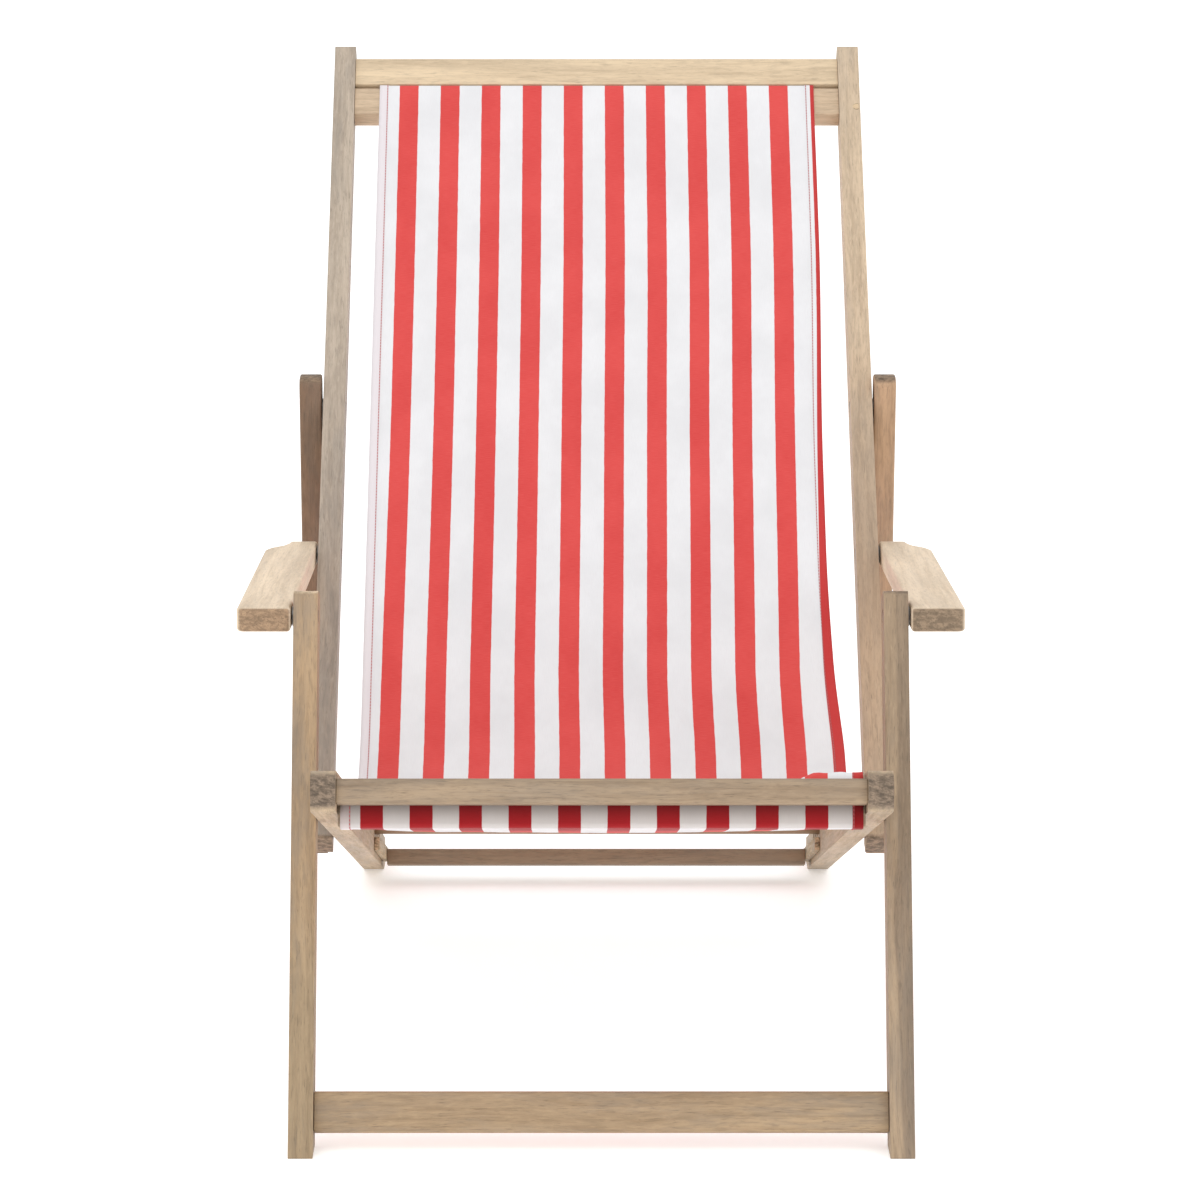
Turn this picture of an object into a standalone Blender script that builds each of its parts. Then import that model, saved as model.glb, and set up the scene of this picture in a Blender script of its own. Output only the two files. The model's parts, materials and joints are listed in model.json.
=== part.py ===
"""Folding deck chair: a wooden frame with armrests and a hung canvas sling.

Axes: X across the chair, Y from front to back, Z up from the floor. Lengths are in metres.
Every moving frame has an empty on its hinge axis. Inside such a frame Y runs along the
members ("s") and Z runs square to them ("w").
"""

import math

import bmesh
import bpy
from mathutils import Euler, Matrix, Vector

MM = 0.001

# Lumber
THICK = 22 * MM
SEAT_RAIL_DEPTH = 36 * MM
LEG_DEPTH = 36 * MM
BACK_RAIL_DEPTH = 36 * MM
PROP_DEPTH = 30 * MM
EASED_EDGE = 1.2 * MM

# Widths, from the inside out: seat frame, then legs and back, then armrests and prop
SEAT_INNER_HALF = 231 * MM
LAYER_GAP = 2 * MM
ARM_WIDTH_FRONT = 49 * MM
ARM_WIDTH_REAR = 29 * MM

# Clearances
SEAT_GAP = 0.3 * MM
HOLE_CLEARANCE = 0.3 * MM

# Seat frame
SEAT_FRONT_HEIGHT = 336.7 * MM
SEAT_SLOPE = math.radians(17.46)
SEAT_FRONT_ROUND = 13 * MM
REAR_FOOT_LENGTH = 39 * MM
LEG_PIVOT_S = 151 * MM
BACK_PIVOT_S = 439.2 * MM
FRONT_RAIL_S = 5 * MM
FRONT_RAIL_LENGTH = 29 * MM
FRONT_RAIL_THICK = 22 * MM
FRONT_SLIT = 4 * MM
SEAT_SLING_RAIL_THICK = 22 * MM
SEAT_SLING_RAIL_DROP = 29 * MM
DOWEL_LEDGE_W = -2.5 * MM
REAR_STRETCHER_FROM_END = 75 * MM
REAR_STRETCHER_WIDTH = 36 * MM
REAR_STRETCHER_THICK = 17 * MM
REAR_STRETCHER_W = -8 * MM

# Rack for the prop's crossbar
RACK_FIRST_FROM_END = 245.55 * MM
RACK_SEAT_W = 6.6 * MM
RACK_PITCH = 36 * MM
RACK_FLOOR_DROP = 2.4 * MM
RACK_CREST_W = (7.1 * MM, 9.0 * MM, 11.4 * MM, 14.4 * MM)
RACK_STRIP_THICK = 5.5 * MM
RACK_STRIP_LEAD = 18 * MM
RACK_STRIP_FROM_END = 21.5 * MM
RACK_STRIP_BOTTOM_W = -11 * MM
RACK_STRIP_EDGE = 3 * MM
RACK_STRIP_CREST_W = 3 * MM
RACK_STRIP_SCALLOP = 5 * MM

# Front legs
LEG_ANGLE = math.radians(68.5)
LEG_TOP_S = 190 * MM
LEG_TOP_ROUND = 8 * MM
FRONT_STRETCHER_HEIGHT = 32.5 * MM
FRONT_STRETCHER_WIDTH = 36 * MM

# Back frame
BACK_ANGLE = math.radians(46.6)
BACK_BELOW_PIVOT = 28 * MM
BACK_ABOVE_PIVOT = 931 * MM
BACK_END_ROUND = 6 * MM
HEAD_MARGIN = 16.5 * MM
HEAD_RAIL_WIDTH = 35.5 * MM
BACK_SLIT = 4 * MM
BACK_SLING_RAIL_WIDTH = 35.5 * MM
BACK_FACE_RECESS = 2 * MM
PROP_PIVOT_S = 478 * MM
ARM_BACK_PIVOT_S = 301.3 * MM

# Armrests
ARM_LEG_PIVOT_S = 168.7 * MM
ARM_THICK = 22 * MM
ARM_FRONT_OVERHANG = 25 * MM
ARM_REAR_OVERHANG = 13 * MM
ARM_STEP_LENGTH = 60 * MM
ARM_CORNER_ROUND = 6 * MM

# Prop frame
PROP_ABOVE_PIVOT = 33 * MM
PROP_BELOW_BAR = 29 * MM
PROP_TOP_ROUND = 10 * MM
CROSSBAR_THICK = 22 * MM
CROSSBAR_HEIGHT = 32 * MM

# Joinery
TENON_LENGTH = 14 * MM
TENON_SHOULDER = 6 * MM
LONG_EDGE_ROUND = 3 * MM

# Pivot hardware
BOLT_RADIUS = 3 * MM
HEAD_RADIUS = 6 * MM
HEAD_HEIGHT = 2.5 * MM
HEAD_CHAMFER = 0.5 * MM
WASHER_RADIUS = 9 * MM
ARM_BOLT_DEPTH = 15 * MM

# Sling
CLOTH_SIDE_GAP = 2.5 * MM
CLOTH_THICK = 1.2 * MM
CLOTH_STEP = 60 * MM
DOWEL_RADIUS = 5 * MM
DOWEL_SHORTER = 2.5 * MM
BELLY_DEPTH = 363 * MM
BELLY_HEIGHT = 209.5 * MM
BELLY_RADIUS = 250 * MM

# Facets
ARC_STEPS = 5
TURN_STEPS = 14

# Layers worked out from the widths above
SEAT_OUTER_HALF = SEAT_INNER_HALF + THICK
MID_INNER_HALF = SEAT_OUTER_HALF + LAYER_GAP
MID_OUTER_HALF = MID_INNER_HALF + THICK
OUT_INNER_HALF = MID_OUTER_HALF + LAYER_GAP
PROP_OUTER_HALF = OUT_INNER_HALF + THICK
CLOTH_WIDTH = 2 * (SEAT_INNER_HALF - CLOTH_SIDE_GAP)
CLOTH_OFFSET = SEAT_GAP + CLOTH_THICK / 2
DOWEL_LENGTH = CLOTH_WIDTH - 2 * DOWEL_SHORTER
LOOP_RADIUS = DOWEL_RADIUS + CLOTH_OFFSET
CROSSBAR_NOSE = CROSSBAR_THICK / 2
RACK_RADIUS = CROSSBAR_NOSE + 5 * SEAT_GAP

SIDES = (("left", -1), ("right", 1))


def clear_scene():
    for obj in list(bpy.data.objects):
        bpy.data.objects.remove(obj, do_unlink=True)


def new_collection(name):
    collection = bpy.data.collections.new(name)
    bpy.context.scene.collection.children.link(collection)
    return collection


def make_material(name, color, roughness, metallic=0.0):
    material = bpy.data.materials.new(name)
    material.use_nodes = True
    shader = material.node_tree.nodes["Principled BSDF"]
    shader.inputs["Base Color"].default_value = (*color, 1.0)
    shader.inputs["Roughness"].default_value = roughness
    shader.inputs["Metallic"].default_value = metallic
    return material


class Frame:
    """A hinge frame: an empty whose Y runs along its members in the chair's side view."""

    def __init__(self, name, parent, s, w, angle):
        self.angle = angle
        self.empty = bpy.data.objects.new(name, None)
        self.empty.empty_display_size = 0.05
        PARTS.objects.link(self.empty)
        if parent is None:
            self.origin = Vector((s, w))
            self.empty.location = (0, s, w)
            self.empty.rotation_euler = (angle, 0, 0)
        else:
            self.origin = parent.point(s, w)
            self.empty.parent = parent.empty
            self.empty.location = (0, s, w)
            self.empty.rotation_euler = (angle - parent.angle, 0, 0)

    def point(self, s, w):
        """Side-view point (y, z) of the chair for a place in this frame."""
        cos, sin = math.cos(self.angle), math.sin(self.angle)
        return self.origin + Vector((s * cos - w * sin, s * sin + w * cos))

    def local(self, y, z):
        """Place (s, w) in this frame of a side-view point of the chair."""
        cos, sin = math.cos(self.angle), math.sin(self.angle)
        d = Vector((y, z)) - self.origin
        return Vector((d.x * cos + d.y * sin, -d.x * sin + d.y * cos))

    def level(self, w, height):
        """Place on the line w of this frame that lies at a height above the floor."""
        cos, sin = math.cos(self.angle), math.sin(self.angle)
        s = (height - self.origin.y - w * cos) / sin
        return Vector((s, w))


def arc(center, radius, start, end, steps):
    """Points on an arc from one angle to another, both in radians."""
    points = []
    for i in range(steps + 1):
        angle = start + (end - start) * i / steps
        points.append(Vector((center[0] + radius * math.cos(angle),
                              center[1] + radius * math.sin(angle))))
    return points


def rounded(corners, closed=True, steps=ARC_STEPS):
    """A path through (a, b, radius) corners, each turned on an arc of its radius."""
    points = []
    count = len(corners)
    for i, (a, b, radius) in enumerate(corners):
        here = Vector((a, b))
        if radius == 0 or (not closed and i in (0, count - 1)):
            points.append(here)
            continue
        before = Vector(corners[i - 1][:2]) - here
        after = Vector(corners[(i + 1) % count][:2]) - here
        half = before.angle(after) / 2
        reach = radius / math.tan(half)
        first = here + before.normalized() * reach
        last = here + after.normalized() * reach
        middle = here + (before.normalized() + after.normalized()).normalized() * radius / math.sin(half)
        start = math.atan2(first.y - middle.y, first.x - middle.x)
        sweep = math.atan2(last.y - middle.y, last.x - middle.x) - start
        sweep = (sweep + math.pi) % (2 * math.pi) - math.pi
        points.extend(arc(middle, radius, start, start + sweep, steps))
    return points


def box_outline(s_low, s_high, w_low, w_high, radius):
    return rounded([(s_low, w_low, radius), (s_high, w_low, radius),
                    (s_high, w_high, radius), (s_low, w_high, radius)], steps=2)


def link(obj, collection, frame, material=None):
    collection.objects.link(obj)
    obj.parent = frame.empty
    if material:
        obj.data.materials.append(material)
    return obj


def outline_mesh(name, outlines, thick, turn, shift):
    """Extrude flat outlines, the first as the edge and the rest as holes, into one closed mesh."""
    curve = bpy.data.curves.new(name, "CURVE")
    curve.dimensions = "2D"
    curve.fill_mode = "BOTH"
    curve.extrude = thick / 2
    for outline in outlines:
        spline = curve.splines.new("POLY")
        spline.points.add(len(outline) - 1)
        for point, place in zip(spline.points, outline):
            point.co = (place[0], place[1], 0, 1)
        spline.use_cyclic_u = True
    source = bpy.data.objects.new(name, curve)
    bpy.context.scene.collection.objects.link(source)
    evaluated = source.evaluated_get(bpy.context.evaluated_depsgraph_get())
    mesh = bpy.data.meshes.new_from_object(evaluated)
    bpy.data.objects.remove(source)
    bpy.data.curves.remove(curve)
    shape = bmesh.new()
    shape.from_mesh(mesh)
    bmesh.ops.remove_doubles(shape, verts=shape.verts, dist=0.00001)
    bmesh.ops.dissolve_limit(shape, angle_limit=math.radians(0.5), verts=shape.verts, edges=shape.edges)
    bmesh.ops.transform(shape, matrix=Matrix.Translation(shift) @ turn, verts=shape.verts)
    bmesh.ops.recalc_face_normals(shape, faces=shape.faces)
    shape.to_mesh(mesh)
    shape.free()
    mesh.name = name
    return mesh


def side_plate(name, frame, outlines, x_low, x_high, material=None, eased=EASED_EDGE):
    """A board cut to a side-view outline, with X as its thickness."""
    turn = Euler((math.radians(90), 0, math.radians(90))).to_matrix().to_4x4()
    shift = Vector(((x_low + x_high) / 2, 0, 0))
    mesh = outline_mesh(name, outlines, x_high - x_low, turn, shift)
    obj = bpy.data.objects.new(name, mesh)
    link(obj, PARTS if material else CUTTERS, frame, material)
    if eased:
        ease_edges(obj, eased)
    return obj


def plan_plate(name, frame, outlines, z_low, z_high, material, eased=EASED_EDGE):
    """A board cut to an outline seen from above its frame, with the frame's Z as its thickness."""
    shift = Vector((0, 0, (z_low + z_high) / 2))
    mesh = outline_mesh(name, outlines, z_high - z_low, Matrix.Identity(4), shift)
    obj = bpy.data.objects.new(name, mesh)
    link(obj, PARTS, frame, material)
    if eased:
        ease_edges(obj, eased)
    return obj


def ease_edges(obj, width):
    bevel = obj.modifiers.new("eased_edges", "BEVEL")
    bevel.width = width
    bevel.segments = 1
    bevel.limit_method = "ANGLE"
    bevel.angle_limit = math.radians(50)


def hide_cutter(obj):
    obj.hide_render = True
    obj.display_type = "WIRE"


def boolean(obj, other, operation):
    cut = obj.modifiers.new(operation.lower() + "_" + other.name, "BOOLEAN")
    cut.operation = operation
    cut.solver = "EXACT"
    cut.object = other
    hide_cutter(other)


def circle(s, w, radius, steps=TURN_STEPS):
    """A round hole's outline; its start turns with s, so no two holes' corners line up."""
    start = s / radius
    return arc((s, w), radius, start, start + 2 * math.pi * (steps - 1) / steps, steps - 1)


def pivot_hole(s, w=0.0):
    return circle(s, w, BOLT_RADIUS + HOLE_CLEARANCE)


def side_span(sign, inner, outer):
    return (inner, outer) if sign > 0 else (-outer, -inner)


def cross_member(name, frame, box, inner_half, rails, material, section=None, tenon_box=None,
                 lining=0.0):
    """A rail from side to side, with blind tenons through any lining into both side members."""
    s_low, s_high, w_low, w_high = box
    outline = section or box_outline(s_low, s_high, w_low, w_high, LONG_EDGE_ROUND)
    shoulder = inner_half - lining - SEAT_GAP
    member = side_plate(name, frame, [outline], -shoulder, shoulder, material, eased=None)
    core = tenon_box or (s_low + TENON_SHOULDER, s_high - TENON_SHOULDER,
                         w_low + TENON_SHOULDER, w_high - TENON_SHOULDER)
    reach = inner_half + TENON_LENGTH
    tenon = side_plate(name + "_tenons", frame, [box_outline(*core, LONG_EDGE_ROUND)],
                       -reach, reach, eased=None)
    boolean(member, tenon, "UNION")
    s0, s1, w0, w1 = core
    grown = (s0 - SEAT_GAP, s1 + SEAT_GAP, w0 - SEAT_GAP, w1 + SEAT_GAP)
    deep = reach + SEAT_GAP
    mortise = side_plate(name + "_mortises", frame, [box_outline(*grown, LONG_EDGE_ROUND)],
                         -deep, deep, eased=None)
    for rail in rails:
        boolean(rail, mortise, "DIFFERENCE")
    return member


def turned(name, profile, frame, place, along, material, closed=False):
    """Revolve (radius, height) points; the axis is laid along +X or -X at a place in the frame."""
    mesh = bpy.data.meshes.new(name)
    shape = bmesh.new()
    verts = [shape.verts.new((radius, 0, height)) for radius, height in profile]
    for first, second in zip(verts, verts[1:]):
        shape.edges.new((first, second))
    if closed:
        shape.edges.new((verts[-1], verts[0]))
    shape.to_mesh(mesh)
    shape.free()
    obj = bpy.data.objects.new(name, mesh)
    link(obj, PARTS, frame, material)
    obj.location = place
    obj.rotation_euler = (0, math.radians(90) * along, 0)
    screw = obj.modifiers.new("turn", "SCREW")
    screw.axis = "Z"
    screw.steps = TURN_STEPS
    screw.render_steps = TURN_STEPS
    screw.use_merge_vertices = True
    screw.merge_threshold = 0.00001
    return obj


def pivot_bolt(name, frame, s, x_head, x_tail, head_at_tail):
    """A barrel bolt: its flat head, and its far head where it has one, lie just under the faces."""
    length = abs(x_tail - x_head)
    under = SEAT_GAP + HEAD_HEIGHT
    profile = [(0, -SEAT_GAP), (HEAD_RADIUS - HEAD_CHAMFER, -SEAT_GAP),
               (HEAD_RADIUS, -SEAT_GAP - HEAD_CHAMFER), (HEAD_RADIUS, -under), (BOLT_RADIUS, -under)]
    if head_at_tail:
        profile += [(radius, -length - height) for radius, height in reversed(profile)]
    else:
        profile += [(BOLT_RADIUS, -length), (0, -length)]
    along = 1 if x_head > x_tail else -1
    return turned(name, profile, frame, (x_head, s, 0), along, STEEL)


def sink_head(board, frame, s, x_face, x_beyond):
    """A round recess for a bolt's head, cut from a face into the board."""
    inward = 1 if x_beyond > x_face else -1
    deep = x_face + inward * (HEAD_HEIGHT + 2 * SEAT_GAP)
    span = sorted((x_face - inward * SEAT_GAP, deep))
    outline = circle(s, 0, HEAD_RADIUS + HOLE_CLEARANCE)
    recess = side_plate(board.name + "_recess", frame, [outline], *span, eased=None)
    boolean(board, recess, "DIFFERENCE")


def washer(name, frame, s, sign, x_inner):
    """A spacer washer that fills the gap between two layers of the frame."""
    half = LAYER_GAP / 2 - SEAT_GAP
    hole = BOLT_RADIUS + HOLE_CLEARANCE
    profile = [(WASHER_RADIUS, half), (WASHER_RADIUS, -half), (hole, -half), (hole, half)]
    place = (sign * (x_inner + LAYER_GAP / 2), s, 0)
    return turned(name, profile, frame, place, sign, STEEL, closed=True)


def dowel(name, frame, s, w, radius, length, material):
    mesh = bpy.data.meshes.new(name)
    shape = bmesh.new()
    bmesh.ops.create_cone(shape, cap_ends=True, segments=TURN_STEPS, radius1=radius,
                          radius2=radius, depth=length)
    shape.to_mesh(mesh)
    shape.free()
    obj = bpy.data.objects.new(name, mesh)
    link(obj, PARTS, frame, material)
    obj.location = (0, s, w)
    obj.rotation_euler = (0, math.radians(90), 0)
    return obj


def notch_radius_and_floor(index):
    """Height of a notch's floor on the seat rail; the first one carries the crossbar."""
    return RACK_SEAT_W if index == 0 else RACK_SEAT_W - RACK_FLOOR_DROP


def rack_profile(top_w):
    """Top edge of the rack from front to rear: round notches between crests that climb rearward."""
    points = []
    fronts = (top_w,) + RACK_CREST_W[:-1]
    for index, (front, rear) in enumerate(zip(fronts, RACK_CREST_W)):
        floor = notch_radius_and_floor(index)
        center = (RACK_FIRST_S + index * RACK_PITCH, floor + RACK_RADIUS)
        start = math.pi + math.asin((center[1] - front) / RACK_RADIUS)
        end = 2 * math.pi - math.asin((center[1] - rear) / RACK_RADIUS)
        points.extend(arc(center, RACK_RADIUS, start, end, 2 * ARC_STEPS))
    ramp_end = RACK_FIRST_S + len(RACK_CREST_W) * RACK_PITCH - RACK_RADIUS / 2
    points.append(Vector((ramp_end, RACK_CREST_W[-1])))
    points.append(Vector((ramp_end + RACK_RADIUS, top_w)))
    return points


def build_seat_rails():
    """Side rails with the rack cut into their top edge and feet cut level with the floor."""
    half = SEAT_RAIL_DEPTH / 2
    foot_front = SEAT.level(-half, 0)
    heel = SEAT.point(*foot_front) + Vector((REAR_FOOT_LENGTH, 0))
    foot_rear = SEAT.local(*heel)
    rise = (half - foot_rear.y) / math.cos(SEAT_SLOPE)
    heel_top = SEAT.local(heel.x, heel.y + rise)
    outline = rounded([(0, half, SEAT_FRONT_ROUND), (0, -half, SEAT_FRONT_ROUND),
                       (*foot_front, 0), (*foot_rear, 0), (*heel_top, 0)])
    edge = outline[:ARC_STEPS + 1]
    rest = outline[ARC_STEPS + 1:]
    outline = edge + rest + list(reversed(rack_profile(half)))
    holes = [pivot_hole(LEG_PIVOT_S), pivot_hole(BACK_PIVOT_S)]
    rails = []
    for side, sign in SIDES:
        span = side_span(sign, SEAT_INNER_HALF, SEAT_OUTER_HALF)
        rails.append(side_plate("seat_rail_" + side, SEAT, [outline] + holes, *span, WOOD_SEAT))
    return rails


def build_rack_strips():
    """Low strips scalloped under each notch, on the inner faces of the seat rails."""
    start = RACK_FIRST_S - RACK_STRIP_LEAD
    end = RAIL_END_S - RACK_STRIP_FROM_END
    center_w = RACK_STRIP_CREST_W - RACK_STRIP_SCALLOP + RACK_RADIUS
    reach = math.acos((center_w - RACK_STRIP_CREST_W) / RACK_RADIUS)
    down = math.radians(270)
    top = []
    for index in range(len(RACK_CREST_W)):
        center = (RACK_FIRST_S + index * RACK_PITCH, center_w)
        top.extend(arc(center, RACK_RADIUS, down - reach, down + reach, ARC_STEPS))
    outline = [Vector((start, RACK_STRIP_BOTTOM_W)), Vector((end, RACK_STRIP_BOTTOM_W)),
               Vector((end, RACK_STRIP_CREST_W))] + list(reversed(top))
    outline += [Vector((start, RACK_STRIP_CREST_W))]
    outer = SEAT_INNER_HALF - SEAT_GAP
    strips = []
    for side, sign in SIDES:
        span = side_span(sign, outer - RACK_STRIP_THICK, outer)
        strips.append(side_plate("rack_strip_" + side, SEAT, [outline], *span, WOOD_DARK,
                                 eased=None))
    return strips


def build_seat_cross_members(rails, strips):
    thick = FRONT_RAIL_THICK / 2
    front_end = FRONT_RAIL_S + FRONT_RAIL_LENGTH
    cross_member("seat_front_rail", SEAT, (FRONT_RAIL_S, front_end, -thick, thick),
                 SEAT_INNER_HALF, rails, WOOD_SEAT)
    rail_s = front_end + FRONT_SLIT
    rail_end = rail_s + SEAT_SLING_RAIL_THICK
    ledge_end = front_dowel_place().x + LOOP_RADIUS + CLOTH_OFFSET
    section = rounded([(rail_s, -SEAT_SLING_RAIL_DROP, LONG_EDGE_ROUND),
                       (rail_end, -SEAT_SLING_RAIL_DROP, LONG_EDGE_ROUND),
                       (rail_end, thick, LONG_EDGE_ROUND), (ledge_end, thick, EASED_EDGE),
                       (ledge_end, DOWEL_LEDGE_W, 0), (rail_s, DOWEL_LEDGE_W, EASED_EDGE)], steps=2)
    tenon = (rail_s + TENON_SHOULDER, rail_end - TENON_SHOULDER,
             DOWEL_LEDGE_W - 2 * TENON_SHOULDER, DOWEL_LEDGE_W - SEAT_GAP)
    cross_member("seat_sling_rail", SEAT, (rail_s, rail_end, -SEAT_SLING_RAIL_DROP, thick),
                 SEAT_INNER_HALF, rails, WOOD_SEAT, section=section, tenon_box=tenon)
    s_low = RAIL_END_S - REAR_STRETCHER_FROM_END
    half = REAR_STRETCHER_THICK / 2
    middle = REAR_STRETCHER_W
    tenon_low = RACK_STRIP_BOTTOM_W + RACK_STRIP_EDGE
    tenon = (s_low + TENON_SHOULDER, s_low + REAR_STRETCHER_WIDTH - TENON_SHOULDER,
             tenon_low, middle + half - SEAT_GAP)
    cross_member("seat_rear_stretcher", SEAT,
                 (s_low, s_low + REAR_STRETCHER_WIDTH, middle - half, middle + half),
                 SEAT_INNER_HALF, rails + strips, WOOD_DARK, tenon_box=tenon,
                 lining=RACK_STRIP_THICK + SEAT_GAP)


def build_legs():
    half = LEG_DEPTH / 2
    outline = rounded([(*LEG.level(-half, 0), 0), (LEG_TOP_S, -half, LEG_TOP_ROUND),
                       (LEG_TOP_S, half, LEG_TOP_ROUND), (*LEG.level(half, 0), 0)])
    holes = [pivot_hole(0), pivot_hole(ARM_LEG_PIVOT_S)]
    legs = []
    for side, sign in SIDES:
        span = side_span(sign, MID_INNER_HALF, MID_OUTER_HALF)
        legs.append(side_plate("front_leg_" + side, LEG, [outline] + holes, *span, WOOD_LEG))
    middle = LEG.level(0, FRONT_STRETCHER_HEIGHT).x
    wide, thick = FRONT_STRETCHER_WIDTH / 2, THICK / 2
    cross_member("front_stretcher", LEG, (middle - wide, middle + wide, -thick, thick),
                 MID_INNER_HALF, legs, WOOD_LEG)


def back_rail_stations():
    """Places along the back of the head rail, the slit and the sling rail below it."""
    head_high = BACK_ABOVE_PIVOT - HEAD_MARGIN
    head_low = head_high - HEAD_RAIL_WIDTH
    sling_high = head_low - BACK_SLIT
    sling_low = sling_high - BACK_SLING_RAIL_WIDTH
    return head_high, head_low, sling_high, sling_low


def build_back():
    half = BACK_RAIL_DEPTH / 2
    outline = rounded([(-BACK_BELOW_PIVOT, -half, BACK_END_ROUND),
                       (BACK_ABOVE_PIVOT, -half, BACK_END_ROUND),
                       (BACK_ABOVE_PIVOT, half, BACK_END_ROUND),
                       (-BACK_BELOW_PIVOT, half, BACK_END_ROUND)])
    holes = [pivot_hole(0), pivot_hole(ARM_BACK_PIVOT_S), pivot_hole(PROP_PIVOT_S)]
    rails = []
    for side, sign in SIDES:
        span = side_span(sign, MID_INNER_HALF, MID_OUTER_HALF)
        rails.append(side_plate("back_rail_" + side, BACK, [outline] + holes, *span, WOOD_BACK))
    head_high, head_low, sling_high, sling_low = back_rail_stations()
    w_high = half - BACK_FACE_RECESS
    w_low = w_high - THICK
    cross_member("head_rail", BACK, (head_low, head_high, w_low, w_high),
                 MID_INNER_HALF, rails, WOOD_PALE)
    cross_member("back_sling_rail", BACK, (sling_low, sling_high, w_low, w_high),
                 MID_INNER_HALF, rails, WOOD_PALE)


def build_prop():
    half = PROP_DEPTH / 2
    bottom = -PROP_LENGTH - PROP_BELOW_BAR
    outline = rounded([(bottom, -half, PROP_TOP_ROUND / 2),
                       (PROP_ABOVE_PIVOT, -half, PROP_TOP_ROUND),
                       (PROP_ABOVE_PIVOT, half, PROP_TOP_ROUND),
                       (bottom, half, PROP_TOP_ROUND / 2)])
    legs = []
    for side, sign in SIDES:
        span = side_span(sign, OUT_INNER_HALF, PROP_OUTER_HALF)
        legs.append(side_plate("prop_leg_" + side, PROP, [outline, pivot_hole(0)],
                               *span, WOOD_DARK))
    nose = -PROP_LENGTH
    low = nose - CROSSBAR_NOSE
    high = low + CROSSBAR_HEIGHT
    section = arc((nose, 0), CROSSBAR_NOSE, math.radians(90), math.radians(270), 2 * ARC_STEPS)
    section += [Vector((high, -CROSSBAR_NOSE)), Vector((high, CROSSBAR_NOSE))]
    tenon = (nose - CROSSBAR_NOSE / 2, high - TENON_SHOULDER,
             -CROSSBAR_NOSE / 2, CROSSBAR_NOSE / 2)
    cross_member("prop_crossbar", PROP, (low, high, -CROSSBAR_NOSE, CROSSBAR_NOSE),
                 OUT_INNER_HALF, legs, WOOD_DARK, section=section, tenon_box=tenon)


def arm_outline(sign):
    """Plan of an armrest: straight inside, full width in front, stepped in behind."""
    front = -ARM_FRONT_OVERHANG
    rear = ARM_LENGTH + ARM_REAR_OVERHANG
    inner = OUT_INNER_HALF
    wide = inner + ARM_WIDTH_FRONT
    narrow = inner + ARM_WIDTH_REAR
    step = rear - ARM_STEP_LENGTH
    corners = [(inner, front, ARM_CORNER_ROUND / 2), (wide, front, ARM_CORNER_ROUND),
               (wide, step, 2 * ARM_CORNER_ROUND),
               (narrow + 1.5 * MM, step + 0.55 * ARM_STEP_LENGTH, 3 * ARM_CORNER_ROUND),
               (narrow, rear, ARM_CORNER_ROUND / 2), (inner, rear, ARM_CORNER_ROUND / 2)]
    return [Vector((sign * point.x, point.y)) for point in rounded(corners)]


def build_arms():
    half = ARM_THICK / 2
    for side, sign in SIDES:
        arm = plan_plate("armrest_" + side, ARM, [arm_outline(sign)], -half, half, WOOD_PALE,
                         eased=2 * EASED_EDGE)
        span = side_span(sign, MID_OUTER_HALF, OUT_INNER_HALF + ARM_BOLT_DEPTH + SEAT_GAP)
        hole = side_plate("armrest_hole_" + side, ARM, [pivot_hole(0)], *span, eased=None)
        boolean(arm, hole, "DIFFERENCE")


def build_hardware():
    for side, sign in SIDES:
        seat_rail = bpy.data.objects["seat_rail_" + side]
        leg = bpy.data.objects["front_leg_" + side]
        back_rail = bpy.data.objects["back_rail_" + side]
        prop_leg = bpy.data.objects["prop_leg_" + side]
        seat_in, mid_in = sign * SEAT_INNER_HALF, sign * MID_INNER_HALF
        mid_out, prop_out = sign * MID_OUTER_HALF, sign * PROP_OUTER_HALF

        pivot_bolt("leg_pivot_bolt_" + side, SEAT, LEG_PIVOT_S, mid_out, seat_in, True)
        sink_head(leg, LEG, 0, mid_out, seat_in)
        sink_head(seat_rail, SEAT, LEG_PIVOT_S, seat_in, mid_out)
        washer("leg_pivot_washer_" + side, SEAT, LEG_PIVOT_S, sign, SEAT_OUTER_HALF)

        pivot_bolt("back_pivot_bolt_" + side, SEAT, BACK_PIVOT_S, mid_out, seat_in, True)
        sink_head(back_rail, BACK, 0, mid_out, seat_in)
        sink_head(seat_rail, SEAT, BACK_PIVOT_S, seat_in, mid_out)
        washer("back_pivot_washer_" + side, SEAT, BACK_PIVOT_S, sign, SEAT_OUTER_HALF)

        pivot_bolt("prop_pivot_bolt_" + side, BACK, PROP_PIVOT_S, prop_out, mid_in, True)
        sink_head(prop_leg, PROP, 0, prop_out, mid_in)
        sink_head(back_rail, BACK, PROP_PIVOT_S, mid_in, prop_out)
        washer("prop_pivot_washer_" + side, BACK, PROP_PIVOT_S, sign, MID_OUTER_HALF)

        stub = sign * (OUT_INNER_HALF - SEAT_GAP)
        pivot_bolt("arm_rear_bolt_" + side, BACK, ARM_BACK_PIVOT_S, mid_in, stub, False)
        sink_head(back_rail, BACK, ARM_BACK_PIVOT_S, mid_in, mid_out)
        washer("arm_rear_washer_" + side, BACK, ARM_BACK_PIVOT_S, sign, MID_OUTER_HALF)

        blind = sign * (OUT_INNER_HALF + ARM_BOLT_DEPTH)
        pivot_bolt("arm_front_bolt_" + side, LEG, ARM_LEG_PIVOT_S, mid_in, blind, False)
        sink_head(leg, LEG, ARM_LEG_PIVOT_S, mid_in, mid_out)
        washer("arm_front_washer_" + side, LEG, ARM_LEG_PIVOT_S, sign, MID_OUTER_HALF)


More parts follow.
